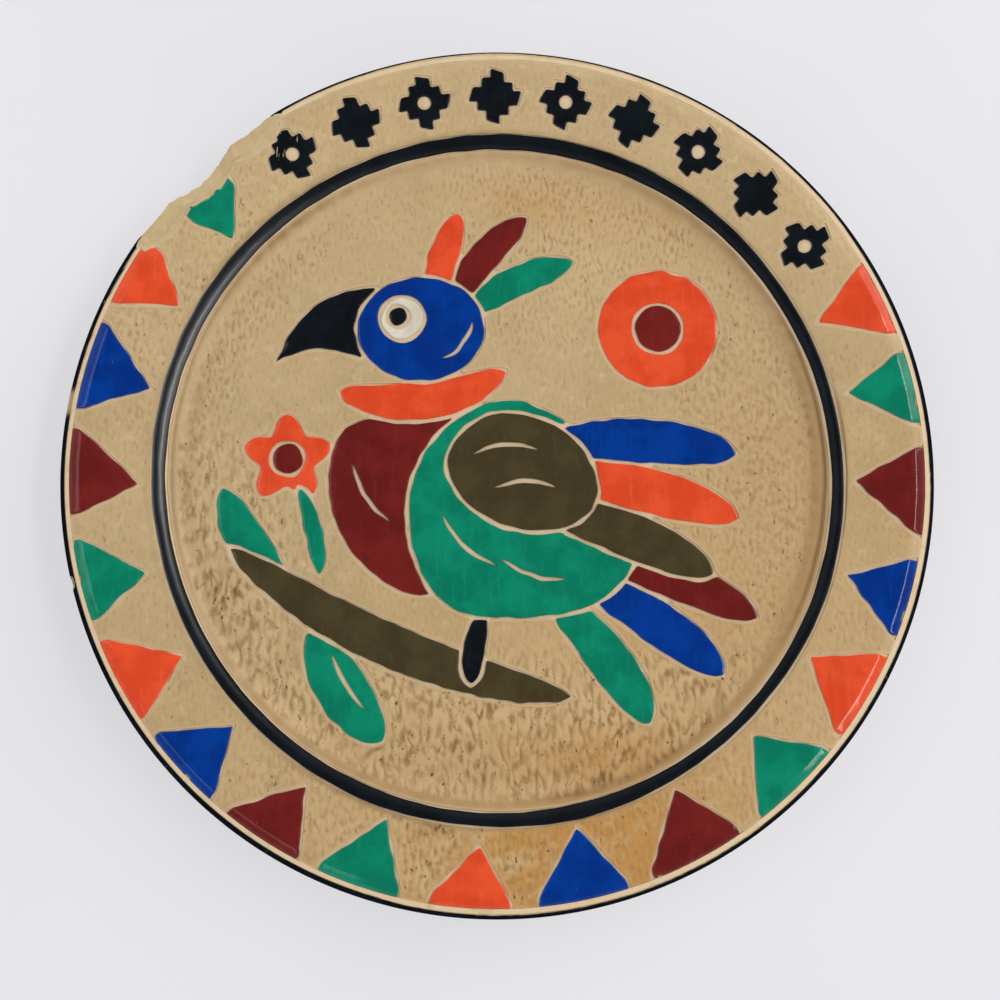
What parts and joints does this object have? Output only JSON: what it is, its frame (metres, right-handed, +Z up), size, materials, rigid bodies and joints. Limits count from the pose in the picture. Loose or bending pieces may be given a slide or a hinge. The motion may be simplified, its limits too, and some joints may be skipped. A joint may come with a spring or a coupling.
{
  "type": "decorative pottery plate",
  "caption": "Round shallow pottery plate on a foot ring, with a carved and painted bird in the well, coloured triangles round the rim and a chipped edge.",
  "frame": {"origin": "centre of the flat face under the foot ring, which the plate stands on", "axes": "+Z up out of the well, +Y towards the top of the decoration, +X to the right of it"},
  "size_m": [0.2, 0.2, 0.0176],
  "materials": {
    "fired_clay": "matte",
    "tan_slip": "satin",
    "black_paint": "gloss",
    "orange_paint": "gloss",
    "green_paint": "gloss",
    "blue_paint": "gloss",
    "maroon_paint": "gloss",
    "brown_paint": "satin",
    "white_paint": "gloss"
  },
  "bodies": {
    "root": {"bird_beak": "black_paint", "bird_body": "green_paint", "bird_breast": "maroon_paint", "bird_collar": "orange_paint", "bird_eye": "white_paint", "bird_head": "blue_paint", "bird_leg": "black_paint", "bird_pupil": "black_paint", "branch": "brown_paint", "crest_plume_1": "orange_paint", "crest_plume_2": "maroon_paint", "crest_plume_3": "green_paint", "edge_paint": "black_paint", "flower_heart": "maroon_paint", "flower_petals": "orange_paint", "flower_stem": "green_paint", "foot_ring": "fired_clay", "leaf_1": "green_paint", "leaf_2": "green_paint", "plate_body": "fired_clay", "rim_diamond_1": "black_paint", "rim_diamond_2": "black_paint", "rim_diamond_3": "black_paint", "rim_diamond_4": "black_paint", "rim_diamond_5": "black_paint", "rim_diamond_6": "black_paint", "rim_diamond_7": "black_paint", "rim_diamond_8": "black_paint", "rim_diamond_9": "black_paint", "rim_slip": "tan_slip", "rim_triangle_01": "orange_paint", "rim_triangle_02": "green_paint", "rim_triangle_03": "maroon_paint", "rim_triangle_04": "blue_paint", "rim_triangle_05": "orange_paint", "rim_triangle_06": "green_paint", "rim_triangle_07": "maroon_paint", "rim_triangle_08": "blue_paint", "rim_triangle_09": "orange_paint", "rim_triangle_10": "green_paint", "rim_triangle_11": "maroon_paint", "rim_triangle_12": "blue_paint", "rim_triangle_13": "orange_paint", "rim_triangle_14": "green_paint", "rim_triangle_15": "maroon_paint", "rim_triangle_16": "blue_paint", "rim_triangle_17": "orange_paint", "rim_triangle_18": "green_paint", "shoulder_band": "black_paint", "sun_disc": "orange_paint", "sun_heart": "maroon_paint", "tail_plume_1": "maroon_paint", "tail_plume_2": "blue_paint", "tail_plume_3": "green_paint", "well_slip": "tan_slip", "wing_cap": "brown_paint", "wing_feather_1": "blue_paint", "wing_feather_2": "orange_paint", "wing_feather_3": "brown_paint"}
  },
  "joints": []
}
